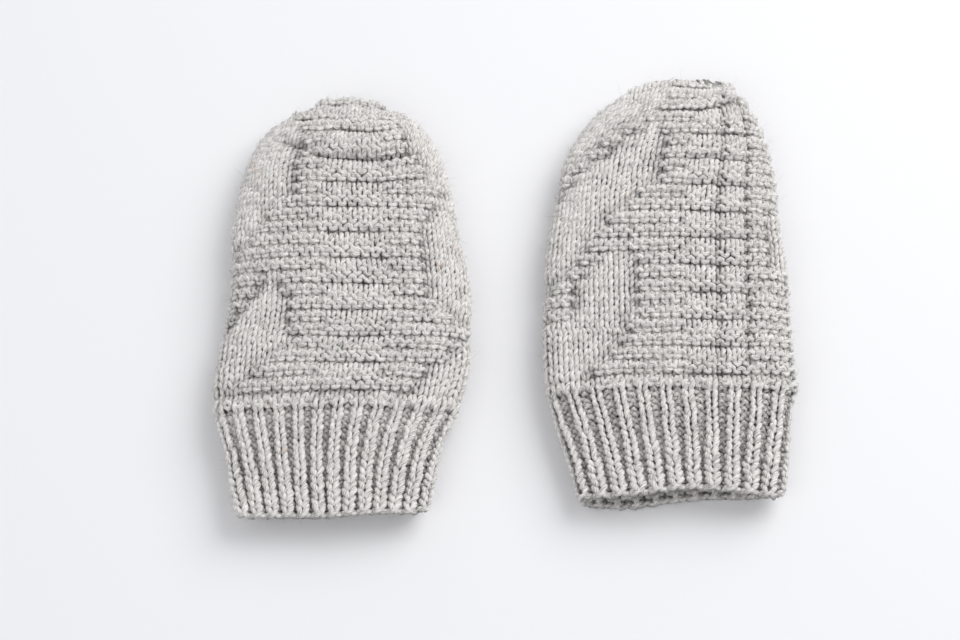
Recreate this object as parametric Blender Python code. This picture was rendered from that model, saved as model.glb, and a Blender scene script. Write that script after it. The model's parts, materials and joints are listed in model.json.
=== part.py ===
"""A pair of knitted baby mittens without thumbs, lying flat side by side.

+X runs across the pair, +Y from the cuffs to the fingertips, and +Z is up from the table.
Each mitten is one knitted panel sewn into a tube. It is divided here where it flexes: the
ribbed cuff (an upper and a lower layer), the hand and the crown. The sewing yarn of the seam
and the gathering yarn that draws the crown shut are pieces of their own, inside the fabric.
"""

import math

import bmesh
import bpy
from mathutils import Vector

# Driving dimensions, in metres.
FABRIC = 0.003  # thickness of the knitted fabric
MIDDLE = 0.0075  # height of the side folds, half way between the two layers
UPPER = 0.0085  # from the side folds up to the top of the hand
WRIST = 0.034  # from the cuff's edge to the top of the ribbing
TIP_LINE = 0.108  # from the cuff's edge to where the fingertips bend
CROWN_START = 0.094  # from the cuff's edge to where the outline starts to round off
TOP_ROUNDING = 0.018  # length over which the upper layer rounds down to the tip
UNDER_ROUNDING = 0.009  # length over which the lower layer rounds up to the tip
MITTEN_SPACING = 0.0977  # between the two mittens' centre lines
RIGHT_AHEAD = 0.0045  # how much further forward the right mitten lies

# Room for the fabric's bends: the solids meet in a V that closes at the end of the travel.
FLEX_TRAVEL = math.radians(25)
MITRE = FLEX_TRAVEL / 2 + math.radians(1)
FLEX_GAP = 0.0006  # left between two solids at the pivot's height
SIDE_GAP = 0.0005  # between the cuff's two layers at the side folds

# Roundness of a mitten's cross-section, and how much of its underside lies flat.
SECTION_POWER = 0.77
FLAT_UNDERSIDE = 1.15

# Seam and gathering yarn.
CLEARANCE = 0.0004  # between the sewn seam and the fabric
SEAM_HALF_WIDTH = 0.0015
SEAM_HALF_HEIGHT = 0.0009
SEAM_END_GAP = 0.003  # left free at each bend of the fabric
GATHER_RING = 0.0018  # radius of the drawn-up loop of gathering yarn
GATHER_YARN = 0.0006  # radius of the yarn
GATHER_INSET = 0.0085  # from the tip back to the gathering loop

# Facets.
AROUND = 28
HAND_ROWS = 8
CUFF_ROWS = 4
CROWN_ROWS = 7
SEAM_SIDES = 6

YARN_GREY = (0.55, 0.53, 0.51, 1.0)
SEWING_GREY = (0.50, 0.48, 0.46, 1.0)


class Mitten:
    """The outline of one mitten, as lengths along it from the cuff's edge to the tip."""

    def __init__(self, side, place, length, half_widths, spine, mouth_height, seam_offset, seam_on_top):
        self.side = side
        self.place = Vector(place)
        self.length = length
        self.half_widths = half_widths
        self.spine = spine
        self.uppers = [(0.0, mouth_height), (WRIST, 0.0078), (0.055, UPPER), (length, UPPER)]
        self.seam_offset = seam_offset
        self.seam_on_top = seam_on_top

    def centre(self, along):
        """Sideways place of the centre line."""
        return self.place.x + smooth(self.spine, along)

    def half_width(self, along, inset=0.0):
        """Half of the width, rounded off over the crown."""
        rounding = quarter_round((along - CROWN_START) / (self.length - inset - CROWN_START))
        return (smooth(self.half_widths, along) - inset) * rounding

    def upper(self, along, inset=0.0):
        """Height of the upper layer over the side folds."""
        start = self.length - inset - TOP_ROUNDING
        return (smooth(self.uppers, along) - inset) * quarter_round((along - start) / TOP_ROUNDING)

    def lower(self, along, inset=0.0):
        """Depth of the lower layer under the side folds."""
        start = self.length - inset - UNDER_ROUNDING
        return (MIDDLE - inset) * quarter_round((along - start) / UNDER_ROUNDING)

    def point(self, along, angle, inset=0.0):
        """A point of the cross-section: angle 0 is the +X fold and a quarter turn is the top."""
        across, up = math.cos(angle), math.sin(angle)
        x = self.half_width(along, inset) * math.copysign(abs(across) ** SECTION_POWER, across)
        if up >= 0:
            z = self.upper(along, inset) * up**SECTION_POWER
        else:
            z = -self.lower(along, inset) * min(1.0, FLAT_UNDERSIDE * abs(up) ** SECTION_POWER)
        return Vector((self.centre(along) + x, self.place.y + along, MIDDLE + z))

    def pivot(self, along, height=MIDDLE):
        """A point on the centre line."""
        return Vector((self.centre(along), self.place.y + along, height))


def smooth(points, at):
    """The height at one place of a smooth curve through points of (place, height)."""
    at = min(max(at, points[0][0]), points[-1][0])
    slopes = []
    for i in range(len(points)):
        before, after = points[max(i - 1, 0)], points[min(i + 1, len(points) - 1)]
        slopes.append((after[1] - before[1]) / (after[0] - before[0]))
    for i in range(len(points) - 1):
        (x0, y0), (x1, y1) = points[i], points[i + 1]
        if at <= x1:
            span = x1 - x0
            t = (at - x0) / span
            rise = y0 * (2 * t**3 - 3 * t**2 + 1) + y1 * (3 * t**2 - 2 * t**3)
            return rise + span * (slopes[i] * (t**3 - 2 * t**2 + t) + slopes[i + 1] * (t**3 - t**2))
    return points[-1][1]


def quarter_round(share):
    """1 before the rounding starts, then a quarter of an ellipse down to 0 at a share of 1."""
    share = min(max(share, 0.0), 1.0)
    return math.sqrt(1.0 - share * share)


def mitred(line, side, height):
    """Where a solid ends near a flex line: further from it above and below the pivot's height.

    side is +1 for the solid ahead of the line, -1 for the one behind it and 0 for a plain edge.
    """
    return line + side * (FLEX_GAP / 2 + abs(height - MIDDLE) * math.tan(MITRE))


def tube_rows(mitten, angles, inset, start, end, rows):
    """Rings of points between two ends, each given as its place along and its mitre's side."""
    middle = (start[0] + end[0]) / 2
    grid = []
    for row in range(rows + 1):
        share = row / rows
        ring = []
        for angle in angles:
            height = mitten.point(middle, angle, inset).z
            along = mitred(*start, height) * (1 - share) + mitred(*end, height) * share
            ring.append(mitten.point(along, angle, inset))
        grid.append(ring)
    return grid


def dome_rows(mitten, angles, inset):
    """Rings of points from the fingertip bend to close to the tip, crowding towards the tip."""
    grid = []
    last_turn = math.radians(84)
    for row in range(CROWN_ROWS + 1):
        share = math.sin(last_turn * row / CROWN_ROWS) / math.sin(last_turn)
        reach = (mitten.length - inset - TIP_LINE) * math.sin(last_turn)
        ring = []
        for angle in angles:
            height = mitten.point(TIP_LINE, angle, inset).z
            start = mitred(TIP_LINE, 1, height)
            ring.append(mitten.point(start + (TIP_LINE + reach - start) * share, angle, inset))
        grid.append(ring)
    return grid


def skin(bm, grid, closed, inward):
    """Quads over a grid of points. inward turns them round for the inside of the fabric."""
    rows = [[bm.verts.new(p) for p in ring] for ring in grid]
    count = len(grid[0])
    for a, b in zip(rows, rows[1:]):
        for i in range(count if closed else count - 1):
            j = (i + 1) % count
            corners = (a[i], b[i], b[j], a[j])
            bm.faces.new(corners[::-1] if inward else corners)
    return rows


def rim(bm, outer, inner, closed, turned):
    """The strip that joins the outside of the fabric to its inside along one edge."""
    count = len(outer)
    for i in range(count if closed else count - 1):
        j = (i + 1) % count
        corners = (outer[i], outer[j], inner[j], inner[i])
        bm.faces.new(corners[::-1] if turned else corners)


def full_turn():
    return [2 * math.pi * i / AROUND for i in range(AROUND)]


def half_turn(mitten, top):
    """Angles of one layer of the cuff, which stops short of the side folds by the side gap."""
    start = (SIDE_GAP / MIDDLE) ** (1 / SECTION_POWER)
    steps = AROUND // 2
    turn = [start + (math.pi - 2 * start) * i / steps for i in range(steps + 1)]
    return turn if top else [math.pi + a for a in turn]


def hand_mesh(bm, mitten):
    """The hand: a tube, open at the wrist and where it meets the crown."""
    start, end = (WRIST, 1), (TIP_LINE, -1)
    outside = skin(bm, tube_rows(mitten, full_turn(), 0, start, end, HAND_ROWS), True, False)
    inside = skin(bm, tube_rows(mitten, full_turn(), FABRIC, start, end, HAND_ROWS), True, True)
    rim(bm, outside[0], inside[0], True, False)
    rim(bm, outside[-1], inside[-1], True, True)


def crown_mesh(bm, mitten):
    """The crown: a dome over the fingertips, open towards the hand."""
    outside = skin(bm, dome_rows(mitten, full_turn(), 0), True, False)
    inside = skin(bm, dome_rows(mitten, full_turn(), FABRIC), True, True)
    rim(bm, outside[0], inside[0], True, False)
    bm.faces.new(outside[-1][::-1])
    bm.faces.new(inside[-1])


def cuff_mesh(bm, mitten, top):
    """One layer of the ribbed cuff: half of a tube that narrows towards its edge."""
    angles = half_turn(mitten, top)
    start, end = (0.0, 0), (WRIST, -1)
    outside = skin(bm, tube_rows(mitten, angles, 0, start, end, CUFF_ROWS), False, False)
    inside = skin(bm, tube_rows(mitten, angles, FABRIC, start, end, CUFF_ROWS), False, True)
    rim(bm, outside[0], inside[0], False, False)
    rim(bm, outside[-1], inside[-1], False, True)
    rim(bm, [row[0] for row in outside], [row[0] for row in inside], False, True)
    rim(bm, [row[-1] for row in outside], [row[-1] for row in inside], False, False)


def seam_mesh(bm, mitten, start, end, steps=4):
    """A length of the sewn seam: the two selvedges and their sewing yarn, inside the fabric."""
    grid = []
    for step in range(steps + 1):
        along = start + (end - start) * step / steps
        share = mitten.seam_offset / mitten.half_width(along, FABRIC)
        angle = math.acos(abs(share) ** (1 / SECTION_POWER) * math.copysign(1, share))
        wall = mitten.point(along, angle if mitten.seam_on_top else -angle, FABRIC)
        inward = -1 if mitten.seam_on_top else 1
        middle = wall + Vector((0, 0, inward * (SEAM_HALF_HEIGHT + CLEARANCE)))
        ring = []
        for i in range(SEAM_SIDES):
            turn = 2 * math.pi * i / SEAM_SIDES
            x, z = SEAM_HALF_WIDTH * math.cos(turn), SEAM_HALF_HEIGHT * math.sin(turn)
            ring.append(middle + Vector((x, 0, z)))
        grid.append(ring)
    rows = skin(bm, grid, True, False)
    bm.faces.new(rows[0])
    bm.faces.new(rows[-1][::-1])


def gather_mesh(bm, mitten, turns=16, sides=6):
    """The loop of gathering yarn, drawn up tight inside the tip of the crown."""
    middle = mitten.pivot(mitten.length - GATHER_INSET)
    rings = []
    for i in range(turns):
        turn = 2 * math.pi * i / turns
        ring = []
        for j in range(sides):
            tilt = 2 * math.pi * j / sides
            reach = GATHER_RING + GATHER_YARN * math.cos(tilt)
            offset = (reach * math.cos(turn), GATHER_YARN * math.sin(tilt), reach * math.sin(turn))
            ring.append(bm.verts.new(middle + Vector(offset)))
        rings.append(ring)
    for i in range(turns):
        a, b = rings[i], rings[(i + 1) % turns]
        for j in range(sides):
            k = (j + 1) % sides
            bm.faces.new((a[j], a[k], b[k], b[j]))


def material(name, colour):
    """Matt wool: rough, with no metallic shine."""
    made = bpy.data.materials.new(name)
    made.use_nodes = True
    shader = made.node_tree.nodes["Principled BSDF"]
    shader.inputs["Base Color"].default_value = colour
    shader.inputs["Roughness"].default_value = 0.95
    shader.inputs["Metallic"].default_value = 0.0
    return made


def piece(name, axis, colour, fill, *details):
    """One named solid, whose mesh fill() makes, hung from the empty on its joint's axis."""
    bm = bmesh.new()
    fill(bm, *details)
    bmesh.ops.recalc_face_normals(bm, faces=bm.faces[:])
    mesh = bpy.data.meshes.new(name)
    bm.to_mesh(mesh)
    bm.free()
    mesh.shade_smooth()
    mesh.set_sharp_from_angle(angle=math.radians(50))
    mesh.materials.append(material(name, colour))
    made = bpy.data.objects.new(name, mesh)
    bpy.context.scene.collection.objects.link(made)
    made.parent = axis
    made.matrix_parent_inverse = axis.matrix_world.inverted()
    return made


def empty(name, place, parent=None):
    """An axis or a mounting point, which is not part of the model."""
    made = bpy.data.objects.new(name, None)
    bpy.context.scene.collection.objects.link(made)
    made.location = place
    bpy.context.view_layer.update()
    if parent:
        made.parent = parent
        made.matrix_parent_inverse = parent.matrix_world.inverted()
        bpy.context.view_layer.update()
    return made


def make_mitten(mitten, pair):
    """All the pieces of one mitten, each on the axis that it turns about."""
    side = mitten.side
    hand_axis = empty(f"{side}_mitten_axis", mitten.pivot(WRIST, 0.0), pair)
    wrist_axis = empty(f"{side}_wrist_axis", mitten.pivot(WRIST), hand_axis)
    wrist_top = MIDDLE + mitten.upper(WRIST)
    mouth_pivot = mitten.pivot(mitred(WRIST, -1, wrist_top), wrist_top)
    mouth_axis = empty(f"{side}_mouth_axis", mouth_pivot, wrist_axis)
    tip_axis = empty(f"{side}_tip_axis", mitten.pivot(TIP_LINE), hand_axis)

    piece(f"{side}_hand", hand_axis, YARN_GREY, hand_mesh, mitten)
    piece(f"{side}_crown", tip_axis, YARN_GREY, crown_mesh, mitten)
    piece(f"{side}_cuff_lower", wrist_axis, YARN_GREY, cuff_mesh, mitten, False)
    piece(f"{side}_cuff_upper", mouth_axis, YARN_GREY, cuff_mesh, mitten, True)

    seam_axis = mouth_axis if mitten.seam_on_top else wrist_axis
    crown_end = mitten.length - GATHER_INSET - SEAM_END_GAP
    stretches = {
        "cuff_seam": (seam_axis, 0.0005, WRIST - SEAM_END_GAP),
        "hand_seam": (hand_axis, WRIST + SEAM_END_GAP, TIP_LINE - SEAM_END_GAP),
        "crown_seam": (tip_axis, TIP_LINE + SEAM_END_GAP, crown_end),
    }
    for name, (axis, start, end) in stretches.items():
        piece(f"{side}_{name}", axis, SEWING_GREY, seam_mesh, mitten, start, end)
    piece(f"{side}_gather_yarn", tip_axis, SEWING_GREY, gather_mesh, mitten)


def centre_on_origin(pair):
    """Moves the pair so that the origin is on the table, under the middle of its box."""
    bpy.context.view_layer.update()
    corners = []
    for made in bpy.data.objects:
        if made.type == "MESH":
            corners += [made.matrix_world @ v.co for v in made.data.vertices]
    xs = [p.x for p in corners]
    ys = [p.y for p in corners]
    pair.location = (-(min(xs) + max(xs)) / 2, -(min(ys) + max(ys)) / 2, 0.0)
    bpy.context.view_layer.update()


def main():
    for old in list(bpy.data.objects):
        bpy.data.objects.remove(old, do_unlink=True)
    pair = empty("pair", (0, 0, 0))
    left = Mitten(
        side="left",
        place=(0.0, 0.0, 0.0),
        length=0.1313,
        half_widths=[
            (0.0, 0.0279), (0.018, 0.0314), (0.034, 0.0359), (0.047, 0.0370),
            (0.062, 0.0356), (0.082, 0.0342), (0.097, 0.0320), (0.1313, 0.0330),
        ],
        spine=[
            (0.0, -0.0018), (0.018, -0.0022), (0.034, -0.0011), (0.048, 0.0008),
            (0.063, 0.0023), (0.085, 0.0008), (0.100, 0.0), (0.1313, 0.0012),
        ],
        mouth_height=0.0060,
        seam_offset=-0.0018,
        seam_on_top=False,
    )
    right = Mitten(
        side="right",
        place=(MITTEN_SPACING, RIGHT_AHEAD, 0.0),
        length=0.1329,
        half_widths=[
            (0.0, 0.0300), (0.012, 0.0320), (0.034, 0.0363), (0.050, 0.0363),
            (0.066, 0.0357), (0.082, 0.0343), (0.097, 0.0323), (0.1329, 0.0334),
        ],
        spine=[
            (0.0, 0.0012), (0.012, 0.0004), (0.034, -0.0011), (0.060, -0.0016),
            (0.082, -0.0014), (0.104, -0.0004), (0.118, 0.0016), (0.1329, 0.0044),
        ],
        mouth_height=0.0070,
        seam_offset=0.0142,
        seam_on_top=True,
    )
    make_mitten(left, pair)
    make_mitten(right, pair)
    centre_on_origin(pair)


main()
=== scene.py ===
"""Looks for the pair of knitted baby mittens: every stitch is a loop of real yarn.

Each mitten is knitted here row by row. A row's yarn is worked out in the fabric's own terms
(stitches across, rows along, height over the fabric) and then laid on the mitten's surface,
whose place and length come from the CAD frame.
"""

import json
import math

import bpy
import numpy as np
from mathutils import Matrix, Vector


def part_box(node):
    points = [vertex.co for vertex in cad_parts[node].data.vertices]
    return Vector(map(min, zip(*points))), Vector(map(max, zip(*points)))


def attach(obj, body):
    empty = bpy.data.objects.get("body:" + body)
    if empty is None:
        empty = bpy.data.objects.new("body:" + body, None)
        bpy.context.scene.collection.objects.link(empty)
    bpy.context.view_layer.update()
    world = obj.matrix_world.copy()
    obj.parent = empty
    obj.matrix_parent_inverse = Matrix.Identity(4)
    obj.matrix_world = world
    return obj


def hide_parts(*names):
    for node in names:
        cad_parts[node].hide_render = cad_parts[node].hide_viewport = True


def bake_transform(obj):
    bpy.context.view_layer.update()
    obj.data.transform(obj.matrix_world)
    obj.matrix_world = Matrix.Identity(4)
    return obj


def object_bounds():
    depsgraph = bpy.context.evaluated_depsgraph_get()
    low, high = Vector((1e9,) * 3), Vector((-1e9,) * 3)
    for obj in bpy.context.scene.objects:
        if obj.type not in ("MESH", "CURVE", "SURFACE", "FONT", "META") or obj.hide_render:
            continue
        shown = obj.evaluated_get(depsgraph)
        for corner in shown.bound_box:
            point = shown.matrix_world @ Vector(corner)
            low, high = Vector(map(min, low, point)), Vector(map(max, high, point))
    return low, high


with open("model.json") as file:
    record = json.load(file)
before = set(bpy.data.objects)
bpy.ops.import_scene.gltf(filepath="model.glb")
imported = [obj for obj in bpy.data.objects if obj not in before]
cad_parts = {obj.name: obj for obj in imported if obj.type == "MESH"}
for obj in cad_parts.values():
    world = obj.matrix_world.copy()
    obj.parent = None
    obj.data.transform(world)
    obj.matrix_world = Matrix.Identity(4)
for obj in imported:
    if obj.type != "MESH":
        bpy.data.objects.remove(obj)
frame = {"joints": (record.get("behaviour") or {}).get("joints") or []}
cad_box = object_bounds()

# Lengths are in metres unless a name or note says otherwise.

# Rows and stitches.
STITCHES = 52  # stitches in a row of the hand, right round a mitten
QUARTER = STITCHES / 4  # stitches from the middle of a layer to its side fold
RIB_ROWS = 16
HAND_ROWS = 48
ROWS = RIB_ROWS + HAND_ROWS
LADDER = 3  # stitches on each side of a ladder's middle
FULL_WIDTH = 0.0030  # width of a stitch in the middle of a layer where the mitten narrows
NARROWEST = 0.00235  # width of a stitch at the tip, where rows lose stitches at the folds
CROWDED_FROM = 5  # stitches from the middle out to where they start to crowd together
CROWDED = 0.35  # narrowest width of a stitch at a fold, as a share of the middle ones
EVEN_PAST_WRIST = 0.016  # length past the wrist where stitches still share the girth evenly
SQUEEZE = 1.02  # how far a quarter may be overfilled before its row loses a stitch
MID_FABRIC = 0.0016  # from the outside of the CAD solid in to the middle of the fabric
FIRST_ROW = 0.0012  # from the cuff's edge to the foot of the first row
CLOSING = 0.0013  # how far the last row goes past the end of the crown, to close it

# The yarn and its loops.
YARN_RADIUS = 0.00073
YARN_DEPTH = 0.00072  # how far a loop swings to the front and to the back
LOOP_HEIGHT = 0.90  # half of a loop's height, in rows
LOOP_POINT = 0.04  # how pointed a loop's head and foot are
LOOP_LEAN = 0.175  # how far a loop's legs close in at its foot, in stitches
EDGE_ROWS = 12  # rows from the cuff's edge over which the rib's loops lean more and are fatter
FATTER_KNIT = (0.12, 0.16)  # how much fatter knit stitches of the rib are, and more at its edge
PLY_PITCH = 0.0052  # length of one full turn of the yarn's two plies
PLY_DEPTH = 0.16  # how far the plies stand out, as a share of the yarn's radius
UV_SHIFT = 7.3  # turns of the plies from one strand to the next, so that no two look alike
STEPS = 12  # points of yarn in one stitch
SIDES = 8  # corners round the yarn

# Loose fibres and sewn stitches.
HAIR_STEPS = 5  # points of a loose fibre
HAIR_SIDES = 3
HAIR_RADIUS = 0.00004
HAIR_LENGTHS = (0.0015, 0.0040)
HAIR_CLEARANCE = 0.0003  # the least height of a loose fibre over the table
SEAM_HEIGHT = -0.0022  # where the seams' stitches lie, under the middle of the fabric
OVERCAST_STITCHES = 9
OVERCAST_REACH = 0.0105  # from the middle of the tip to the last of the stitches over it
OVERCAST_LENGTH = 0.0011  # how far these stitches reach over the end, and back from it
OVERCAST_HEIGHT = 0.0019  # how far they reach up and down

# The same outline as the CAD solids. Places along a mitten are counted from the cuff's edge.
MIDDLE = 0.0075  # height of the side folds, half way between the two layers
UPPER = 0.0085  # from the side folds up to the top of the hand
WRIST = 0.034
CROWN_START = 0.094
TOP_ROUNDING = 0.018  # length over which the upper layer rounds down to the tip
UNDER_ROUNDING = 0.009  # length over which the lower layer rounds up to the tip
SECTION_POWER = 0.77  # roundness of the cross-section
FLAT_UNDERSIDE = 1.15  # over 1, how much of the underside lies flat

# How irregular the stitches are, as standard deviations.
UNEVEN_LEAN = 0.13  # as a share of the lean
UNEVEN_HEIGHT = 0.07  # as a share of the loop's height
UNEVEN_ALONG = 0.07  # rows
UNEVEN_ACROSS = 0.045  # stitches
UNEVEN_STAND = 0.0001
UNEVEN_RADIUS = 0.06  # as a share of the yarn's radius

# The relief of the stitch pattern, in metres.
RIB_DEPTH = 0.00085  # of the rib's wales, before the next two
RIB_DEEPER_AT_EDGE = 0.00050
RIB_SHALLOWER_AT_WRIST = 0.00035
RIB_SUNK = 0.0004  # how far the rib as a whole lies under the hand's fabric
KNIT_SHARE = 0.61  # share of a rib that its knit stitch takes up
KNIT_SHARE_MORE = 0.22  # how much more of it the knit stitch takes up at the cuff's edge
GARTER_STAND = 0.00027  # of the beads over the middle of the fabric
GARTER_CREASE = 0.00095  # mean depth of the creases between the ridges
GARTER_BEADS = 0.00030  # how much deeper a crease is at the middle of a stitch
GARTER_SWING = 0.0003  # how far the ridges' rows stand out and the rows between them lie back
STOCKING_STAND = 0.00015
BLOCK_GROOVE = 0.0013  # depth of the groove at the sides of a block of stocking stitch
FIRST_RIDGE = 0.0008  # height of the purl ridge where the hand starts
UNDER_FIRST_RIDGE, OVER_FIRST_RIDGE = 0.0005, 0.0004  # depths of the hollows beside it
SIDE_STAND = 0.0006  # how far the fabric swells at the side folds
FLATTENED = 0.65  # share of the relief that is pressed flat underneath

RIB, GARTER, STOCKING, WELT = range(4)


# Small helpers -------------------------------------------------------------------------


def smooth(points, at):
    """Heights at an array of places of a smooth curve through points of (place, height)."""
    xs, ys = np.array(points, float).T
    slopes = np.gradient(ys, xs)
    at = np.clip(at, xs[0], xs[-1])
    i = np.clip(np.searchsorted(xs, at) - 1, 0, len(xs) - 2)
    span = xs[i + 1] - xs[i]
    t = (at - xs[i]) / span
    rise = ys[i] * (2 * t**3 - 3 * t**2 + 1) + ys[i + 1] * (3 * t**2 - 2 * t**3)
    return rise + span * (slopes[i] * (t**3 - 2 * t**2 + t) + slopes[i + 1] * (t**3 - t**2))


def quarter_round(share):
    """1 before a rounding starts, then a quarter of an ellipse down to 0."""
    return np.sqrt(1.0 - np.clip(share, 0.0, 1.0) ** 2)


def ramp(value, low, high):
    """0 below low, 1 above high, and smooth between them."""
    t = np.clip((value - low) / (high - low), 0.0, 1.0)
    return t * t * (3 - 2 * t)


def bell(value, middle, width):
    """A bell of height 1."""
    return np.exp(-(((value - middle) / width) ** 2))


def wrapped(place):
    """Place round the tube in stitches, from half a row to the left to half a row to the right."""
    return (place + STITCHES / 2) % STITCHES - STITCHES / 2


def in_layer(place):
    """Place across one layer: stitches underneath take the places of those over them."""
    around = wrapped(place)
    return np.where(np.abs(around) > QUARTER, np.sign(around) * 2 * QUARTER - around, around)


def wound_pair(turns):
    """The angles of two strands that are wound round each other."""
    return [2 * math.pi * turns, 2 * math.pi * turns + math.pi]


def joint_place(name):
    """Where a joint's axis is."""
    return Vector(next(j for j in frame["joints"] if j["name"] == name)["pos_m"])


def inside(polygon, x, y):
    """Which points lie inside a polygon."""
    found = np.zeros(np.shape(x), bool)
    for (x0, y0), (x1, y1) in zip(polygon, polygon[1:] + polygon[:1]):
        if y0 != y1:
            crosses = (y0 > y) != (y1 > y)
            found ^= crosses & (x < (x1 - x0) * (y - y0) / (y1 - y0) + x0)
    return found


def sample(grid, row, column):
    """Bilinear look-up in a grid of numbers or of vectors."""
    row = np.clip(row, 0, grid.shape[0] - 1.001)
    column = np.clip(column, 0, grid.shape[1] - 1.001)
    i, j = row.astype(int), column.astype(int)
    u, v = row - i, column - j
    if grid.ndim == 3:
        u, v = u[:, None], v[:, None]
    low = grid[i, j] * (1 - v) + grid[i, j + 1] * v
    high = grid[i + 1, j] * (1 - v) + grid[i + 1, j + 1] * v
    return low * (1 - u) + high * u


def blurred(grid, times):
    """A grid softened by averaging each cell with its neighbours. Its columns wrap round."""
    for _ in range(times):
        grid = (np.roll(grid, 1, 1) + grid + np.roll(grid, -1, 1)) / 3
        padded = np.pad(grid, ((1, 1), (0, 0)), mode="edge")
        grid = (padded[:-2] + padded[1:-1] + padded[2:]) / 3
    return grid


def unit(vectors):
    """Vectors of length 1."""
    return vectors / np.maximum(np.linalg.norm(vectors, axis=-1, keepdims=True), 1e-12)


# The mitten's surface ------------------------------------------------------------------


class Surface:
    """The middle of a mitten's fabric, as a fine grid over its length and its girth.

    Girth is counted in quarters: 0 is the middle of the top, 1 the right fold, -1 the left
    fold, and 2 and -2 the middle of the underside.
    """

    LENGTHS = 420
    QUARTER_STEPS = 90

    def __init__(self, side, half_widths, spine, mouth_height, row_ease):
        self.row_ease = row_ease  # how far the middle rows of the hand lie towards the tip
        wrist = joint_place(f"{side}_wrist_flex")
        self.x = wrist.x - float(smooth(spine, WRIST))
        self.y = wrist.y - WRIST
        self.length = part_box(f"{side}_crown")[1].y - self.y
        uppers = [(0.0, mouth_height), (WRIST, 0.0078), (0.055, UPPER), (self.length, UPPER)]
        end = self.length - MID_FABRIC
        share = np.linspace(0, 1, self.LENGTHS)
        # The grid is finer towards the tip, and stops just before the outline closes.
        along = end * 0.9998 * (0.4 * share + 0.6 * np.sin(share * math.pi / 2))
        rounding = quarter_round((along - CROWN_START) / (end - CROWN_START))
        width = (smooth(half_widths, along) - MID_FABRIC) * rounding
        upper = smooth(uppers, along) - MID_FABRIC
        upper *= quarter_round((along - end + TOP_ROUNDING) / TOP_ROUNDING)
        lower = MIDDLE - MID_FABRIC
        lower = lower * quarter_round((along - end + UNDER_ROUNDING) / UNDER_ROUNDING)
        top = self.layer(width, upper, 1.0)
        under = self.layer(width, -lower, FLAT_UNDERSIDE)
        right = np.concatenate([top, under[:, ::-1][:, 1:]], axis=1)
        left = right[:, ::-1] * np.array([-1, 1, 1])
        grid = np.concatenate([left, right[:, 1:]], axis=1)
        grid[:, :, 0] += (self.x + smooth(spine, along))[:, None]
        grid[:, :, 1] = (self.y + along)[:, None]
        grid[:, :, 2] += MIDDLE
        self.points, self.along = grid, along
        self.normals = self.outward(grid)
        self.girth = np.linalg.norm(np.diff(top, axis=1), axis=2).sum(1)
        crest = np.hypot(np.diff(along), np.diff(upper))
        self.crest = np.concatenate([[0], np.cumsum(crest)])

    def layer(self, width, height, flatness):
        """From the middle of a layer to its right fold, in equal steps of girth."""
        turn = np.linspace(0, math.pi / 2, 600)
        across = np.sin(turn) ** SECTION_POWER
        up = np.minimum(1.0, flatness * np.clip(np.cos(turn), 0, 1) ** SECTION_POWER)
        rows = []
        for w, h in zip(width, height):
            xs, zs = w * across, h * up
            girth = np.concatenate([[0], np.cumsum(np.hypot(np.diff(xs), np.diff(zs)))])
            even = np.linspace(0, girth[-1], self.QUARTER_STEPS + 1)
            places = [np.interp(even, girth, xs), 0 * even, np.interp(even, girth, zs)]
            rows.append(np.stack(places, 1))
        return np.array(rows)

    def outward(self, grid):
        """Unit directions out of the fabric."""
        around = np.gradient(grid, axis=1)
        around[:, 0] = around[:, -1] = grid[:, 1] - grid[:, -2]
        return unit(np.cross(around, np.gradient(grid, axis=0)))

    def index(self, row):
        """Where rows, counted from the cuff's edge, lie in the grid."""
        rib = FIRST_ROW + row * (WRIST - FIRST_ROW) / RIB_ROWS
        share = np.clip((row - RIB_ROWS) / HAND_ROWS, 0, 1)
        share = share + self.row_ease * np.sin(math.pi * share**2)
        hand = WRIST + share * (self.crest[-1] - WRIST - YARN_RADIUS)
        hand = hand + (YARN_RADIUS + CLOSING) * ramp(share, 0.9, 1.0)
        length = np.where(row < RIB_ROWS, rib, hand)
        return np.interp(length, self.crest, np.arange(self.LENGTHS))

    def girth_at(self, from_middle, index):
        """Girth from the middle of a layer out to places in stitches, and the whole quarter's."""
        steps = np.arange(self.LENGTHS)
        quarter = np.interp(index, steps, self.girth)
        even = quarter / QUARTER
        reach = QUARTER - CROWDED_FROM
        crowded_quarter = QUARTER - (1 - CROWDED) * reach / 2
        middle = np.maximum(np.minimum(FULL_WIDTH, quarter / crowded_quarter), NARROWEST)
        on_cuff = np.interp(index, steps, self.along) < WRIST + EVEN_PAST_WRIST
        middle = np.where(on_cuff | (even > FULL_WIDTH), even, middle)
        crowding = 2 * (QUARTER * middle - quarter) / reach**2
        crowding = np.clip(crowding, 0.0, (1 - CROWDED) * middle / reach)
        beyond = np.maximum(from_middle - CROWDED_FROM, 0.0)
        return middle * from_middle - crowding * beyond**2 / 2, quarter

    def fit(self, row):
        """How many stitches from the middle of a layer fit in before its fold."""
        from_middle = np.arange(QUARTER + 1)
        index = self.index(np.full(len(from_middle), row + 0.5))
        girth, quarter = self.girth_at(from_middle, index)
        return int((girth <= quarter * SQUEEZE).sum())

    def place(self, across, row, height, forward):
        """Points on the fabric, and the directions out of it.

        across is in stitches from the middle of the top, and forward is a shift towards the tip.
        """
        across = wrapped(across)
        index = self.index(row)
        on_top = np.abs(across) <= QUARTER
        from_middle = np.where(on_top, np.abs(across), 2 * QUARTER - np.abs(across))
        girth, quarter = self.girth_at(from_middle, index)
        share = np.minimum(girth / quarter, 1.0)
        column = (np.sign(across) * np.where(on_top, share, 2 - share) + 2) * self.QUARTER_STEPS
        points = sample(self.points, index, column)
        normals = unit(sample(self.normals, index, column))
        points = points + normals * height[:, None]
        points[:, 1] += forward
        return points, normals


# The stitch pattern --------------------------------------------------------------------


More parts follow.
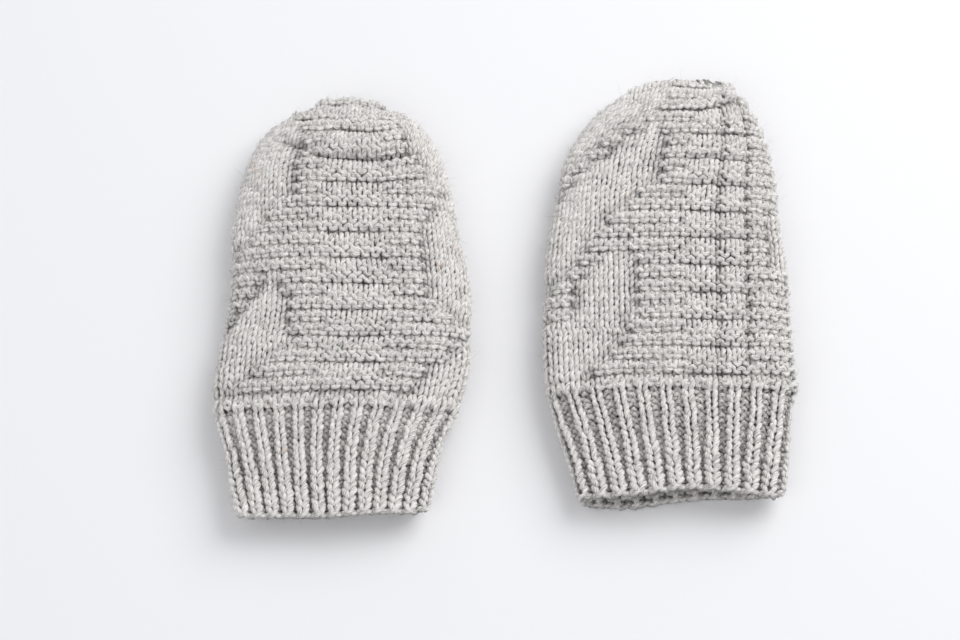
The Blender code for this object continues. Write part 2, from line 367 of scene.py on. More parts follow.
def chart(regions):
    """The kind of each stitch, and whether it is knit (1) or purl (-1) above the rib."""
    rows, columns = np.meshgrid(np.arange(ROWS + 1), np.arange(STITCHES), indexing="ij")
    across = columns - STITCHES / 2 + 0.5
    up = rows - RIB_ROWS
    kind = np.full(rows.shape, GARTER)
    for region in regions:
        kind[inside(region, across, up + 0.5)] = STOCKING
    from_ladder = np.minimum(np.abs(across), np.abs(np.abs(across) - STITCHES / 2))
    kind[from_ladder < LADDER] = WELT
    kind[up < 0] = RIB
    knit = np.where(up % 2 == 1, 1, -1)
    knit[kind == STOCKING] = 1
    knit[kind == WELT] = np.where(up % 4 < 2, 1, -1)[kind == WELT]
    knit[(up == 0) & (kind != STOCKING)] = -1
    return kind, knit


class Strand:
    """A length of yarn: its points, the directions out of the fabric, radii, and the heights that set
    its painted shade.
    """

    def __init__(self, points, normals, radius, height, sides=SIDES):
        self.points, self.normals, self.radius, self.height = points, normals, radius, height
        self.sides = sides


class Mitten:
    """One mitten: its surface, its chart, and how far the chart is turned on the surface."""

    FINE = 4  # cells of the relief grids in one stitch
    # The profile of a welt over its four rows, which are places from 0 to 1.
    WELT_PLACES = [0.0, 0.06, 0.2, 0.4, 0.5, 0.65, 0.8, 0.92, 0.98, 1.0]
    WELT_HEIGHTS = [-0.60, 0.25, 0.60, 0.60, 0.50, 0.25, -0.30, -1.05, -1.15, -0.60]  # mm
    WELT_SHIFTS = [0.0, -0.20, -0.20, -0.05, 0.05, 0.05, 0.05, 0.0, 0.0, 0.0]  # rows

    def __init__(self, side, surface, regions, turn, seam_on_top, rib_stitches, seed, folds, lean=None):
        self.side, self.surface = side, surface
        self.turn = turn  # how far the chart is turned to the right on the surface, in stitches
        self.rib_stitches, self.rib_start = rib_stitches, int(seam_on_top)
        self.first_share = 0.0 if seam_on_top else -0.5  # where rows start, as a share of a row
        self.kind, self.knit = chart(regions)
        self.random = np.random.default_rng(seed)
        fine = np.repeat(np.repeat(self.kind, self.FINE, 0), self.FINE, 1)
        kinds = (RIB, GARTER, STOCKING, WELT)
        self.share = {kind: blurred((fine == kind).astype(float), 3) for kind in kinds}
        self.folds = folds
        self.lean = lean  # rows above the rib, and how far they lie to the right, if any do

    def skew(self, row):
        """How far the hand's rows lie to the right of the cuff's, in stitches."""
        shift = np.interp(row - RIB_ROWS, *self.lean) if self.lean else 0.0
        return np.where(row < RIB_ROWS, 0.0, shift)

    def share_of(self, kind, across, row):
        """How far the fabric at these places is of one kind, from 0 to 1."""
        column = ((across + STITCHES / 2) % STITCHES) * self.FINE - 0.5
        return sample(self.share[kind], row * self.FINE - 0.5, column)

    def rib_part(self, across):
        """Place in a rib, from 0 where its knit stitch starts to 1 where its purl stitch ends."""
        stitch = across * self.rib_stitches / STITCHES + self.rib_stitches / 2
        return ((stitch - self.rib_start) / 2) % 1.0

    def rib_shift(self, across, row):
        """How far stitches of the rib move sideways: knit ones are wide and purl ones narrow."""
        part = self.rib_part(across)
        knit_share = KNIT_SHARE + KNIT_SHARE_MORE * (1 - ramp(row, 0, 14))
        warped = np.where(part < 0.5, 2 * part * knit_share, 1 - 2 * (1 - part) * (1 - knit_share))
        shift = 2 * (warped - knit_share / 2 + 0.25 - part) * STITCHES / self.rib_stitches
        return shift * (1 - ramp(row, RIB_ROWS - 0.5, RIB_ROWS + 0.8))

    def rib_relief(self, across, row):
        """The rib's wales, which are deepest at the cuff's edge and shallowest at the wrist."""
        wale = np.cos(2 * math.pi * (self.rib_part(across) - 0.25))
        depth = RIB_DEPTH + RIB_DEEPER_AT_EDGE * (1 - ramp(row, 0, RIB_ROWS))
        depth -= RIB_SHALLOWER_AT_WRIST * ramp(row, RIB_ROWS - 5.0, RIB_ROWS)
        return depth * wale * (1.3 - 0.3 * wale**2) - RIB_SUNK

    def garter_relief(self, across, row):
        """Ridges of beads, and creases between them that are deepest at a stitch's middle."""
        from_crease = np.abs((row - RIB_ROWS + 1.93) % 2 - 1)
        crease = GARTER_CREASE - GARTER_BEADS * np.cos(2 * math.pi * across)
        return GARTER_STAND - crease * bell(from_crease, 0.0, 0.32)

    def relief(self, across, row):
        """How far the stitch pattern stands out in metres, and is pushed along in rows."""
        up = row - RIB_ROWS
        out = self.share_of(RIB, across, row) * self.rib_relief(across, row)
        # The ladder's welts, which are a little uneven and end before the last rows.
        welt = self.share_of(WELT, across, row) * (1 - 0.8 * ramp(up, 42.5, 44.0))
        part = ((up - 1.5) / 4) % 1.0
        uneven = 1 + 0.22 * np.sin(2.9 * across + 1.7 * row)
        out += welt * uneven * 0.001 * np.interp(part, self.WELT_PLACES, self.WELT_HEIGHTS)
        push = welt * np.interp(part, self.WELT_PLACES, self.WELT_SHIFTS)
        # Garter stitch: every second row is a ridge, and the rows draw together at the creases.
        garter = self.share_of(GARTER, across, row)
        out += garter * self.garter_relief(across, row)
        out += garter * GARTER_SWING * np.sin(math.pi * up)
        push += garter * 0.05 * np.sin(math.pi * up)
        out += STOCKING_STAND * self.share_of(STOCKING, across, row)
        # The first row of the hand is a ridge between two hollows.
        out += FIRST_RIDGE * bell(up, 0.0, 0.6)
        out -= UNDER_FIRST_RIDGE * bell(up, -0.9, 0.4) + OVER_FIRST_RIDGE * bell(up, 1.0, 0.4)
        # A block of stocking stitch has a groove along its sides, up to the crown.
        sides = [self.share_of(STOCKING, across + step, row) for step in (-0.6, 0.6)]
        groove = np.abs(sides[1] - sides[0]) * ramp(up, 0.0, 1.5) * (1 - ramp(up, 39.0, 43.0))
        out -= BLOCK_GROOVE * groove
        return out, push

    def runs(self, row):
        """The stretches of stitches that a row has, as first and last place across."""
        if row < RIB_ROWS:
            first = int(self.first_share * self.rib_stitches)
            return [(first, first + self.rib_stitches)]
        fit = self.surface.fit(row)
        if fit >= QUARTER:
            first = int(self.first_share * STITCHES)
            return [(first, first + STITCHES)]
        runs = []
        for middle in (-self.turn, STITCHES / 2 - self.turn):
            runs.append((math.ceil(middle - fit), math.floor(middle + fit)))
        return runs

    def laid(self, across, row, height, radius):
        """A strand laid on the fabric, following the pattern's relief and the mitten's folds."""
        stand, push = self.relief(across, row)
        place = across + self.turn + self.skew(row)
        along = np.interp(self.surface.index(row), np.arange(Surface.LENGTHS), self.surface.along)
        raised, forward = self.folds(across, place, row, along)
        place = place + self.rib_shift(across, row)
        from_top = np.abs(wrapped(place))
        stand *= 1 - FLATTENED * ramp(from_top, QUARTER + 1, QUARTER + 4)
        side_stand = SIDE_STAND * bell(from_top, QUARTER, 2.5) * ramp(row, RIB_ROWS, RIB_ROWS + 2)
        total = height + stand + raised + side_stand
        points, normals = self.surface.place(place, row + push, total, forward)
        # Painted shade darkens the material by this height. Wide hollows let in light, so they count in
        # part.
        weight = 0.30 + 0.15 * ramp(row, RIB_ROWS - 1, RIB_ROWS + 1)
        shade_height = height + weight * stand + 0.3 * np.minimum(raised, 0)
        return Strand(points, normals, radius, shade_height)

    def yarn(self, row, start, end):
        """The yarn of one stretch of a row."""
        count = int(end - start)
        loops = np.arange(count * STEPS + 1) / STEPS
        turn = 2 * math.pi * (loops % 1.0)
        across = start + loops
        own_row, row_above = self.stitches(row), self.stitches(min(row + 1, ROWS))
        if len(own_row) != len(row_above):
            row_above = own_row
        stitches = len(own_row)
        column = np.floor(across + stitches / 2 + 1e-9).astype(int) % stitches
        # Every stitch has its own small irregularities, which run on into the next one's.
        loose = self.random.normal(0, 1, (5, count + 2))
        at = np.arange(count + 2) - 0.5
        wide, further, out, tall, sideways = (np.interp(loops, at, line) for line in loose)
        # A loop's foot swings to the side that its own stitch and the one beside it face, and its
        # head to the side that the stitch above faces.
        own, above = own_row[column], row_above[column]
        beside = np.where(turn < math.pi, np.roll(own_row, 1)[column], np.roll(own_row, -1)[column])
        sinker = 0.5 * np.clip(np.cos(2 * turn), 0, 1) * (np.cos(turn) > 0)
        low = own * (1 - sinker) + beside * sinker
        rising = ramp(-np.cos(turn), -0.35, 0.35)
        face = low * (1 - rising) * np.where(low < 0, 0.8, 1.0) + above * rising
        # Loops lean more at the cuff's edge and in garter stitch, where they swing further too.
        edge, garter = 0.0, 0.0
        if row < RIB_ROWS:
            edge = 1 - ramp(row, 0, EDGE_ROWS)
        else:
            garter = (self.kind[row][column] == GARTER).astype(float)
        lean = LOOP_LEAN * (1 + 0.35 * edge + 0.15 * garter) * (1 + UNEVEN_LEAN * wide)
        x = across + lean * np.sin(2 * turn) + UNEVEN_ACROSS * sideways
        rise = (1 - LOOP_POINT) * np.cos(turn) + LOOP_POINT * np.cos(3 * turn)
        y = row + 0.5 - LOOP_HEIGHT * (1 + UNEVEN_HEIGHT * tall) * rise + UNEVEN_ALONG * further
        z = -YARN_DEPTH * (1 + 0.25 * garter) * np.cos(2 * turn) * face + UNEVEN_STAND * out
        thick = 1 + UNEVEN_RADIUS * out + 0.03 * garter
        if row < RIB_ROWS:
            fatter = FATTER_KNIT[0] + FATTER_KNIT[1] * edge
            thick += fatter * (own > 0) * np.sin(turn / 2) ** 2
        return self.laid(x * STITCHES / stitches, y, z, YARN_RADIUS * thick)

    def stitches(self, row):
        """Whether each stitch of a row is knit (1) or purl (-1)."""
        if row >= RIB_ROWS:
            return self.knit[row]
        return np.where((np.arange(self.rib_stitches) - self.rib_start) % 2 == 0, 1, -1)

    def cast_on(self):
        """The cast-on edge: two strands wound round each other along the edge of the cuff."""
        strands = []
        turns = np.arange(self.rib_stitches * STEPS + 1) / STEPS
        across = (self.first_share + turns / self.rib_stitches) * STITCHES
        for turn in wound_pair(turns):
            height = 0.0005 * np.cos(turn)
            radius = np.full(len(across), YARN_RADIUS * 0.85)
            strands.append(self.laid(across, 0.22 * np.sin(turn) - 0.15, height, radius))
        return strands

    def seam(self, first, last):
        """The whip stitches that close the fabric, on its inner side, between two rows."""
        strands = []
        turns = np.arange((last - first) * STEPS + 1) / STEPS
        for turn in wound_pair(turns):
            across = self.first_share * STITCHES + 0.28 * np.sin(turn)
            height = SEAM_HEIGHT + 0.00045 * np.cos(turn)
            radius = np.full(len(turns), YARN_RADIUS * 0.8)
            strands.append(self.laid(across, first + turns, height, radius))
        return strands

    def gathers(self):
        """The yarn that draws the tip together: two strands wound round each other in a ring."""
        low, high = (np.array(corner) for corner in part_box(f"{self.side}_gather_yarn"))
        middle, reach = (low + high) / 2, (high - low) / 2 - YARN_RADIUS * 0.8
        windings = 6
        share = np.linspace(0, 1, 2 * windings * STEPS + 1)
        strands = []
        for wound in wound_pair(windings * share):
            away = 1 + 0.22 * np.cos(wound)
            places = [
                middle[0] + reach[0] * away * np.cos(2 * math.pi * share),
                middle[1] + 0.0004 * np.sin(wound),
                middle[2] + reach[2] * away * np.sin(2 * math.pi * share),
            ]
            points = np.stack(places, 1)
            outward = unit(points - middle)
            radius = np.full(len(share), YARN_RADIUS * 0.65)
            # A fixed height sets how much painted shade the ring gets.
            strands.append(Strand(points, outward, radius, np.full(len(share), 0.0008)))
        return strands

    def overcast(self):
        """Stitches over the tip that close the last row."""
        surface = self.surface
        turns = np.arange(OVERCAST_STITCHES * STEPS + 1) / STEPS
        aside = (2 * turns / turns[-1] - 1) * OVERCAST_REACH
        end = surface.points[-1].mean(0)
        half_width = 0.033  # of the crown, whose outline is a quarter of an ellipse
        drop = (surface.length - CROWN_START) * (1 - np.sqrt(1 - (aside / half_width) ** 2))
        # Each turn leans a little and goes over the end, from one layer to the other and back.
        turn = 2 * math.pi * turns
        places = [
            end[0] + aside + 0.0006 * np.sin(turn + 1),
            end[1] - drop + 0.0003 + OVERCAST_LENGTH * np.cos(turn),
            end[2] + OVERCAST_HEIGHT * np.sin(turn),
        ]
        points = np.stack(places, 1)
        outward = np.stack([0 * turn, np.cos(turn), np.sin(turn)], 1)
        # A fixed height sets how much painted shade these stitches get.
        radius, height = np.full(len(turn), YARN_RADIUS * 0.9), np.full(len(turn), 0.0010)
        return [Strand(points, outward, radius, height)]

    def hairs(self, strands):
        """Short loose fibres that stand out of the yarn."""
        made = []
        for strand in strands:
            for start in self.random.integers(2, len(strand.points) - 3, len(strand.points) // STEPS):
                # A fibre leaves the yarn partly along it and partly outwards, and curls.
                length = self.random.uniform(*HAIR_LENGTHS)
                way = strand.points[start + 2] - strand.points[start - 2]
                lean = unit(way / 0.002 + strand.normals[start] + self.random.normal(0, 0.6, 3))
                curl = self.random.normal(0, 0.45, 3)
                share = np.linspace(0, 1, HAIR_STEPS)[:, None]
                points = strand.points[start] + length * (share * lean + share**2 * curl)
                points += strand.normals[start] * (strand.radius[start] * 0.8)
                points[:, 2] = np.maximum(points[:, 2], HAIR_CLEARANCE)
                normals = np.repeat(strand.normals[start : start + 1], HAIR_STEPS, 0)
                # A fibre takes the painted shade of the yarn where it leaves it.
                height = np.full(HAIR_STEPS, strand.height[start] + YARN_RADIUS)
                radius = HAIR_RADIUS * (1.1 - share[:, 0])
                made.append(Strand(points, normals, radius, height, HAIR_SIDES))
        return made


# Meshes of yarn ------------------------------------------------------------------------


def lengths_along(points):
    """Distance of each point along a line of points."""
    return np.concatenate([[0], np.cumsum(np.linalg.norm(np.diff(points, axis=0), axis=1))])


def tube(strand):
    """Rings of corners round a strand of two twisted plies, and their heights over the fabric."""
    forward = unit(np.gradient(strand.points, axis=0))
    across = (strand.normals * forward).sum(1, keepdims=True)
    out = unit(strand.normals - forward * across)
    side = np.cross(forward, out)
    turns = 2 * math.pi * np.arange(strand.sides) / strand.sides
    twist = 2 * math.pi * lengths_along(strand.points) / PLY_PITCH
    radius = strand.radius[:, None] * (1 + PLY_DEPTH * np.cos(2 * (turns[None] - twist[:, None])))
    radius[[0, -1]] *= 0.05  # both ends close almost to a point
    around = out[:, None] * np.cos(turns)[:, None] + side[:, None] * np.sin(turns)[:, None]
    corners = strand.points[:, None] + around * radius[:, :, None]
    heights = strand.height[:, None] + radius * np.cos(turns)
    return corners.reshape(-1, 3), heights.ravel()


def yarn_mesh(name, strands, material):
    """One mesh of many strands. Its UV map holds turns of the plies along and round the yarn."""
    vertices, heights, faces, uvs = [], [], [], []
    base = 0
    for strand in strands:
        count, sides = len(strand.points), strand.sides
        corner = np.arange(sides)
        corners, corner_heights = tube(strand)
        vertices.append(corners)
        heights.append(corner_heights)
        ring = base + (np.arange(count - 1) * sides)[:, None]
        here, beside = ring + corner, ring + (corner + 1) % sides
        faces.append(np.stack([here, beside, beside + sides, here + sides], 2).reshape(-1, 4))
        turns = lengths_along(strand.points) / PLY_PITCH + UV_SHIFT * len(uvs)
        u0, u1 = turns[:-1, None] + 0 * corner, turns[1:, None] + 0 * corner
        v0, v1 = corner / sides + 0 * u0, (corner + 1) / sides + 0 * u0
        u, v = np.stack([u0, u0, u1, u1], 2), np.stack([v0, v1, v1, v0], 2)
        uvs.append(np.stack([u, v], 3).reshape(-1, 2))
        base += count * sides
    vertices, heights = np.concatenate(vertices), np.concatenate(heights)
    faces, uvs = np.concatenate(faces), np.concatenate(uvs)
    mesh = bpy.data.meshes.new(name)
    mesh.vertices.add(len(vertices))
    mesh.vertices.foreach_set("co", vertices.astype(np.float32).ravel())
    mesh.loops.add(faces.size)
    mesh.loops.foreach_set("vertex_index", faces.astype(np.int32).ravel())
    mesh.polygons.add(len(faces))
    mesh.polygons.foreach_set("loop_start", np.arange(0, faces.size, 4, dtype=np.int32))
    mesh.update(calc_edges=True)
    layer = mesh.uv_layers.new(name="yarn")
    layer.data.foreach_set("uv", uvs.astype(np.float32).ravel())
    # The heights that set the yarn's painted shade.
    attribute = mesh.attributes.new("height_mm", "FLOAT", "POINT")
    attribute.data.foreach_set("value", (heights * 1000).astype(np.float32))
    mesh.shade_smooth()
    mesh.materials.append(material)
    made = bpy.data.objects.new(name, mesh)
    bpy.context.scene.collection.objects.link(made)
    return made


# Materials -----------------------------------------------------------------------------


class Nodes:
    """Short calls for building a material's node tree."""

    def __init__(self, material):
        material.use_nodes = True
        self.tree = material.node_tree
        self.shader = self.tree.nodes["Principled BSDF"]

    def add(self, kind, **settings):
        """A node of one kind, with its settings."""
        made = self.tree.nodes.new(kind)
        for name, value in settings.items():
            setattr(made, name, value)
        return made

    def link(self, output, target):
        self.tree.links.new(output, target)

    def math(self, operation, first, second):
        """A math node on two numbers or sockets."""
        made = self.add("ShaderNodeMath", operation=operation)
        for i, value in enumerate((first, second)):
            if isinstance(value, (int, float)):
                made.inputs[i].default_value = value
            else:
                self.link(value, made.inputs[i])
        return made.outputs[0]

    def noise(self, vector, scale, detail):
        """A noise of one scale, from 0 to 1."""
        made = self.add("ShaderNodeTexNoise")
        made.inputs["Scale"].default_value = scale
        made.inputs["Detail"].default_value = detail
        self.link(vector, made.inputs["Vector"])
        return made.outputs["Fac"]

    def ramp(self, factor, stops):
        """Colours at places from 0 to 1."""
        made = self.add("ShaderNodeValToRGB")
        elements = made.color_ramp.elements
        while len(elements) < len(stops):
            elements.new(0.5)
        for element, (place, colour) in zip(elements, stops):
            element.position = place
            element.color = (*colour, 1.0)
        self.link(factor, made.inputs["Fac"])
        return made.outputs["Color"]

    def mix(self, factor, first, second, blend="MIX"):
        """Two colours or sockets, blended."""
        made = self.add("ShaderNodeMix", data_type="RGBA", blend_type=blend)
        for i, value in ((0, factor), (6, first), (7, second)):
            socket = made.inputs[i]
            if isinstance(value, bpy.types.NodeSocket):
                self.link(value, socket)
            else:
                socket.default_value = value
        return made.outputs[2]


def yarn_material(name, light, mid, dark):
    """Heathered, softly hairy yarn: fibres of three greys twisted together in two plies, with painted
    shade that darkens it near the fabric's middle.
    """
    made = bpy.data.materials.new(name)
    nodes = Nodes(made)
    uv = nodes.add("ShaderNodeUVMap", uv_map="yarn").outputs["UV"]
    parts = nodes.add("ShaderNodeSeparateXYZ")
    nodes.link(uv, parts.inputs[0])
    along, around = parts.outputs[0], parts.outputs[1]
    # Round the yarn as a circle that turns with the plies, so that its UV map closes.
    angle = nodes.math("MULTIPLY", nodes.math("SUBTRACT", around, along), 2 * math.pi)
    circle = nodes.add("ShaderNodeCombineXYZ")
    nodes.link(nodes.math("MULTIPLY", along, 1.6), circle.inputs[0])
    nodes.link(nodes.math("MULTIPLY", nodes.math("COSINE", angle, 0.0), 1.3), circle.inputs[1])
    nodes.link(nodes.math("MULTIPLY", nodes.math("SINE", angle, 0.0), 1.3), circle.inputs[2])
    fibres = nodes.noise(circle.outputs[0], 1.7, 4.0)
    colour = nodes.ramp(fibres, [(0.36, dark), (0.48, mid), (0.60, light)])
    space = nodes.add("ShaderNodeTexCoord").outputs["Object"]
    # Slow changes of shade over the fabric, and a few pinkish flecks.
    cloud = nodes.noise(space, 420.0, 2.0)
    shade = nodes.ramp(cloud, [(0.35, (0.93, 0.93, 0.93)), (0.65, (1.04, 1.04, 1.04))])
    colour = nodes.mix(1.0, colour, shade, "MULTIPLY")
    specks = nodes.noise(space, 260.0, 1.0)
    tint = nodes.ramp(specks, [(0.73, (1.0, 1.0, 1.0)), (0.80, (1.02, 0.92, 0.86))])
    colour = nodes.mix(1.0, colour, tint, "MULTIPLY")
    # Painted shade: the colour darkens at the foot of a stitch, where little light reaches through the
    # hairs of its neighbours.
    # The height counts on both sides of the fabric's middle, because the inside shows at the mouth.
    height = nodes.add("ShaderNodeAttribute", attribute_name="height_mm").outputs["Fac"]
    range_node = nodes.add("ShaderNodeMapRange", interpolation_type="SMOOTHSTEP")
    range_node.inputs["From Min"].default_value = -0.58
    range_node.inputs["From Max"].default_value = 1.35
    nodes.link(nodes.math("ABSOLUTE", height, 0.0), range_node.inputs["Value"])
    painted_shade = nodes.ramp(range_node.outputs[0], [(0.0, (0.13, 0.125, 0.12)), (1.0, (1.0, 1.0, 1.0))])
    colour = nodes.mix(1.0, colour, painted_shade, "MULTIPLY")
    nodes.link(colour, nodes.shader.inputs["Base Color"])
    bump_node = nodes.add("ShaderNodeBump")
    bump_node.inputs["Strength"].default_value = 0.8
    bump_node.inputs["Distance"].default_value = 0.00025
    nodes.link(fibres, bump_node.inputs["Height"])
    nodes.link(bump_node.outputs[0], nodes.shader.inputs["Normal"])
    nodes.shader.inputs["Roughness"].default_value = 0.9
    nodes.shader.inputs["Specular IOR Level"].default_value = 0.25
    nodes.shader.inputs["Sheen Weight"].default_value = 0.3
    nodes.shader.inputs["Sheen Roughness"].default_value = 0.5
    return made


# The two mittens -----------------------------------------------------------------------


def puff(place, along):
    """Slow unevenness of the lying fabric."""
    return 0.0004 * np.sin(place * 0.42 + along * 90) * np.sin(along * 130 + 1.3)


def mouth(row, amount):
    """A shift of the cuff's edge that dies out up the cuff."""
    return amount * (1 - ramp(row, 0.0, 11.0))


def left_folds(across, place, row, along):
    """How far the left mitten's fabric is raised, and its rows are shifted towards the tip.

    The crown has slumped into two creases between its rows, the lower one with a bulge over it.
    The shifts give the outline its uneven cuff, its shoulders and its peak.
    """
    up = row - RIB_ROWS
    on_top = 1 - ramp(np.abs(place), 6.0, 9.5)
    crease = np.interp(place, [-6.4, -4.0, -2.0, 1.8, 4.7], [40.1, 38.8, 37.8, 37.2, 37.0])
    past = up - crease
    raised = 0.0010 * ramp(past, -0.2, 0.8) * (1 - ramp(past, 1.5, 7.0))
    raised -= 0.0017 * bell(past, -0.35, 0.6)
    raised -= 0.0013 * bell(up, 41.2, 0.6) * bell(place, 2.0, 3.0)
    overhang = -0.0007 * bell(past, 0.4, 0.7)
    under = ramp(np.abs(place), QUARTER - 2, QUARTER + 2)
    edge = 0.0022 * under - 0.0014 * (1 - ramp(place, -2.0, 9.0))
    peak = 0.0009 * bell(in_layer(place), 0.0, 2.5) * ramp(up, 38.0, 46.0)
    shoulder = 0.0026 * bell(in_layer(place), 8.5, 3.0)
    shoulder *= ramp(up, 30.0, 36.0) * (1 - 0.8 * ramp(up, 40.0, 45.0))
    from_middle = 1 - bell(in_layer(place), 1.0, 6.0)
    wrist = -0.0013 * bell(up, -1.0, 1.8) - 0.0012 * from_middle * bell(up, -1.0, 5.0)
    forward = on_top * overhang + mouth(row, edge) + peak + shoulder + wrist
    return on_top * raised + puff(place, along), forward


def right_folds(across, place, row, along):
    """How far the right mitten's fabric is raised, and its rows are shifted towards the tip.

    The sewn seam is a groove on top, with a softer fold beside it. The shifts give the outline
    its uneven cuff and the two corners of its crown.
    """
    up = row - RIB_ROWS
    from_seam = wrapped(across)
    seam = bell(from_seam, 0.3, 0.5) * (0.25 + 0.75 * ramp(along, WRIST - 0.006, WRIST))
    seam *= 1 - 0.7 * ramp(up, 41.0, 45.0)
    fold = bell(from_seam, 3.3, 0.5) * ramp(along, WRIST, WRIST + 0.01)
    raised = -0.0011 * seam - 0.0016 * fold + puff(place, along)
    around = wrapped(place)
    raised += 0.0012 * bell(around, QUARTER, 2.0) * bell(up, 0.0, 2.0)
    under = ramp(np.abs(around), QUARTER - 1, QUARTER + 1)
    leftwards = 1 - ramp(in_layer(place), -8.0, 5.0)
    arch = 0.0024 * bell(around, 2.0, 7.0)
    edge = arch * (1 - under) + under * (0.0020 - 0.0028 * leftwards)
    right_corner = 0.0044 * bell(in_layer(place), 8.0, 3.0) * ramp(up, 36.0, 43.0)
    left_corner = 0.0015 * bell(in_layer(place), -6.0, 3.0) * ramp(up, 40.0, 46.0)
    left_side = 1 - ramp(in_layer(place), -11.0, -4.0)
    wrist = -0.0004 * bell(up, -1.0, 1.8) - 0.0018 * left_side * bell(up, -1.0, 4.0)
    return raised, mouth(row, edge) + right_corner + left_corner + wrist


# How far the right mitten's rows lie to the right: rows above the rib, and stitches there.
RIGHT_LEAN = ([0, 18, 27, 40, 48], [0.1, 0.1, 0.2, 0.8, 1.0])

# The blocks of stocking stitch: their corners in stitches from the middle of the top, and in
# rows above the rib.
LEFT_REGIONS = [
    [(-6, 32), (-6, 41), (-9, 46), (-22, 46), (-22, 14), (-13, 22), (-11, 25)],
    [(-6.3, 8.5), (-7.8, 18), (-9, 20), (-10.3, 16), (-13.5, 9.5), (-18, 5), (-18, -3),
     (-12.5, 1), (-10.7, 3)],
    [(6, 37.5), (6, 44), (20, 46), (20, 26), (14, 28), (8.6, 34)],
    [(7, 26.5), (9.3, 31), (14, 33), (20, 30), (20, 14), (14, 10), (11.5, 11.3), (7.9, 14.3), (7, 15)],
    [(5.9, 0), (7.7, 3.7), (11.5, 9.4), (14, 10), (20, 6), (20, -2), (5.9, -2)],
]
RIGHT_REGIONS = [
    [(-6.2, 30.5), (-6.2, 37), (-7.1, 40), (-15, 30), (-20, 24), (-20, 11), (-13.7, 18), (-12.3, 22.4)],
    [(-7.1, 43.5), (-15, 33.5), (-21, 27), (-21, 50), (-7.1, 50)],
    [(-7.7, 18.3), (-8.7, 19.4), (-10.8, 19), (-14, 14.6), (-14, 10), (-20, 9), (-20, -2),
     (-12.8, -2), (-12.6, 2.4), (-8.7, 7.8)],
    [(5.6, 17), (5.6, 26), (9, 26), (9, 17)],
]


def piece(mitten, name, strands, material):
    """One visible piece of a mitten."""
    made = yarn_mesh(f"{mitten.side}_{name}", strands, material)
    return made


def fabric_pieces(mitten, knit, rib):
    """The fabric, divided where it bends. The palm, hand and crown pieces go on the bodies of the
    solids they stand for, and the others stay where they are.
    """
    side = mitten.side
    rows = {
        "cuff_rib": (0, RIB_ROWS),
        "wrist_band": (RIB_ROWS, 23),
        "palm_knit": (23, 34),
        "hand_knit": (34, 45),
        "finger_bend": (45, 54),
        "crown_knit": (54, ROWS),
    }
    pieces = {}
    for name, (first, last) in rows.items():
        strands = [mitten.yarn(row, *run) for row in range(first, last) for run in mitten.runs(row)]
        if name == "cuff_rib":
            strands += mitten.cast_on()
        if name == "crown_knit":
            strands += mitten.overcast()
        strands += mitten.hairs(strands)
        material, slot = (rib, "rib") if name == "cuff_rib" else (knit, "knit")
        pieces[name] = piece(mitten, name, strands, material)
    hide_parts(f"{side}_cuff_lower", f"{side}_cuff_upper")
    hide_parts(f"{side}_hand")
    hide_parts(f"{side}_crown")
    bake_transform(pieces["cuff_rib"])
    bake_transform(pieces["wrist_band"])
    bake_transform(pieces["finger_bend"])
    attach(pieces["palm_knit"], f"{side}_mitten")
    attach(pieces["hand_knit"], f"{side}_mitten")
    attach(pieces["crown_knit"], f"{side}_tip")


def sewn_pieces(mitten, seam_yarn):
    """The seam's stitches, inside the fabric, and the yarn that draws the tip together."""
    side = mitten.side
    seam_on_top = mitten.first_share == 0
    seams = {
        "cuff_seam": (1, RIB_ROWS - 2, f"{side}_cuff_top" if seam_on_top else f"{side}_cuff"),
        "hand_seam": (RIB_ROWS + 4, 51, f"{side}_mitten"),
        "crown_seam": (53, 58, f"{side}_tip"),
    }
    for name, (first, last, body) in seams.items():
        made = piece(mitten, f"{name}_stitches", mitten.seam(first, last), seam_yarn)
        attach(made, body)
        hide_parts(f"{side}_{name}")
    ring = piece(mitten, "gather_stitches", mitten.gathers(), seam_yarn)
    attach(ring, f"{side}_tip")
    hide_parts(f"{side}_gather_yarn")


def camera_and_lights():
    """A camera high over the cuffs' side, two soft lights over the pair and a bright room."""
    elevation = math.radians(70)
    distance = 0.80
    view_width = 0.2842  # seen at the target's distance
    target = Vector((-0.0071, -0.0083, 0.006))
    back = Vector((0, -math.cos(elevation), math.sin(elevation)))
    camera = bpy.data.objects.new("camera", bpy.data.cameras.new("camera"))
    bpy.context.scene.collection.objects.link(camera)
    camera.location = target + back * distance
    camera.rotation_euler = (-back).to_track_quat("-Z", "Y").to_euler()
    camera.data.sensor_width = 36.0
    camera.data.lens = camera.data.sensor_width * distance / view_width
    camera.data.clip_start, camera.data.clip_end = 0.01, 10.0
    bpy.context.scene.camera = camera

    for name, place, power in (("key", (0.62, 0.50, 0.80), 8.5), ("fill", (-0.6, -0.5, 0.9), 2.0)):
        lamp = bpy.data.lights.new(name, "AREA")
        lamp.shape = "RECTANGLE"
        lamp.size, lamp.size_y = 0.9, 0.9
        lamp.energy = power
        made = bpy.data.objects.new(name, lamp)
        bpy.context.scene.collection.objects.link(made)
        made.location = place
        made.rotation_euler = (-Vector(place)).to_track_quat("-Z", "Y").to_euler()
    world = bpy.data.worlds.new("room")
    bpy.context.scene.world = world
    world.use_nodes = True
    world.node_tree.nodes["Background"].inputs["Color"].default_value = (0.96, 0.97, 1.0, 1.0)
    world.node_tree.nodes["Background"].inputs["Strength"].default_value = 0.53
    bpy.context.scene.view_settings.view_transform = "Standard"


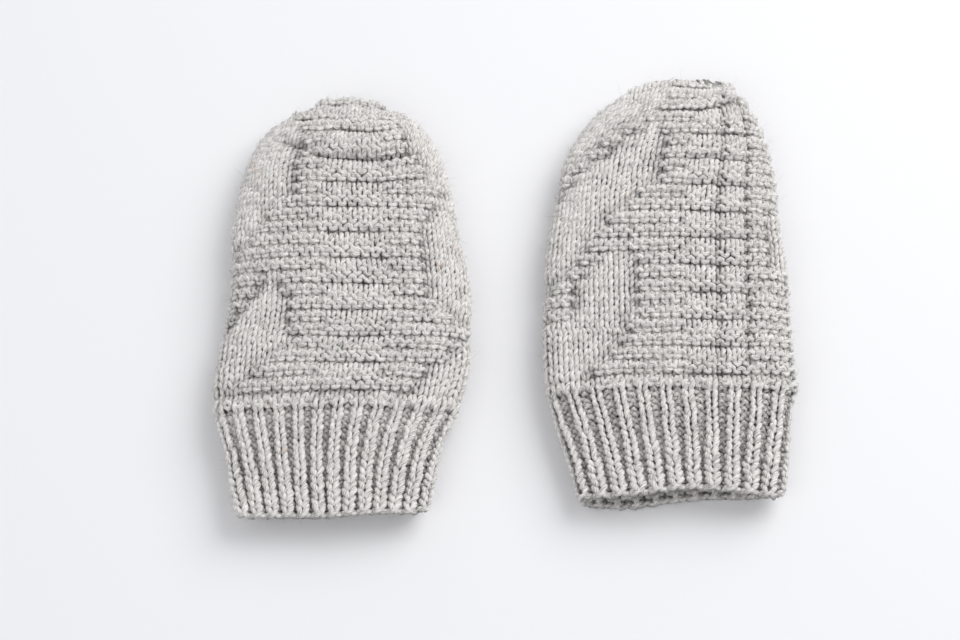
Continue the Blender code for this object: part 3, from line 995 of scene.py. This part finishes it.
def floor():
    """The pale table top."""
    low = cad_box[0].z
    bpy.ops.mesh.primitive_plane_add(size=4.0, location=(0, 0, low))
    plane = bpy.context.object
    plane.name = "table"
    made = bpy.data.materials.new("table_white")
    nodes = Nodes(made)
    nodes.shader.inputs["Base Color"].default_value = (0.93, 0.93, 0.94, 1)
    nodes.shader.inputs["Roughness"].default_value = 0.6
    nodes.shader.inputs["Specular IOR Level"].default_value = 0.15
    plane.data.materials.append(made)


def main():
    """The two mittens, their light and the table."""
    greys = ((0.94, 0.915, 0.88), (0.785, 0.76, 0.73), (0.42, 0.40, 0.378))
    knit, rib, seam_yarn = (yarn_material(name, *greys) for name in ("knit", "rib", "seam_yarn"))
    left_surface = Surface(
        "left",
        half_widths=[
            (0.0, 0.0279), (0.018, 0.0314), (0.034, 0.0359), (0.047, 0.0370),
            (0.062, 0.0356), (0.082, 0.0342), (0.097, 0.0320), (0.1313, 0.0330),
        ],
        spine=[
            (0.0, -0.0018), (0.018, -0.0022), (0.034, -0.0011), (0.048, 0.0008),
            (0.063, 0.0023), (0.085, 0.0008), (0.100, 0.0), (0.1313, 0.0012),
        ],
        mouth_height=0.0036,
        row_ease=0.0,
    )
    right_surface = Surface(
        "right",
        half_widths=[
            (0.0, 0.0300), (0.012, 0.0320), (0.034, 0.0363), (0.050, 0.0363),
            (0.066, 0.0357), (0.082, 0.0343), (0.097, 0.0323), (0.1329, 0.0334),
        ],
        spine=[
            (0.0, 0.0012), (0.012, 0.0004), (0.034, -0.0011), (0.060, -0.0016),
            (0.082, -0.0014), (0.104, -0.0004), (0.118, 0.0016), (0.1329, 0.0044),
        ],
        mouth_height=0.0046,
        row_ease=0.019,
    )
    left = Mitten(
        "left", left_surface, LEFT_REGIONS, turn=0.9, seam_on_top=False, rib_stitches=50, seed=11,
        folds=left_folds,
    )
    right = Mitten(
        "right", right_surface, RIGHT_REGIONS, turn=4.6, seam_on_top=True, rib_stitches=44, seed=23,
        folds=right_folds, lean=RIGHT_LEAN,
    )
    for mitten in (left, right):
        fabric_pieces(mitten, knit, rib)
        sewn_pieces(mitten, seam_yarn)
    camera_and_lights()
    floor()


main()
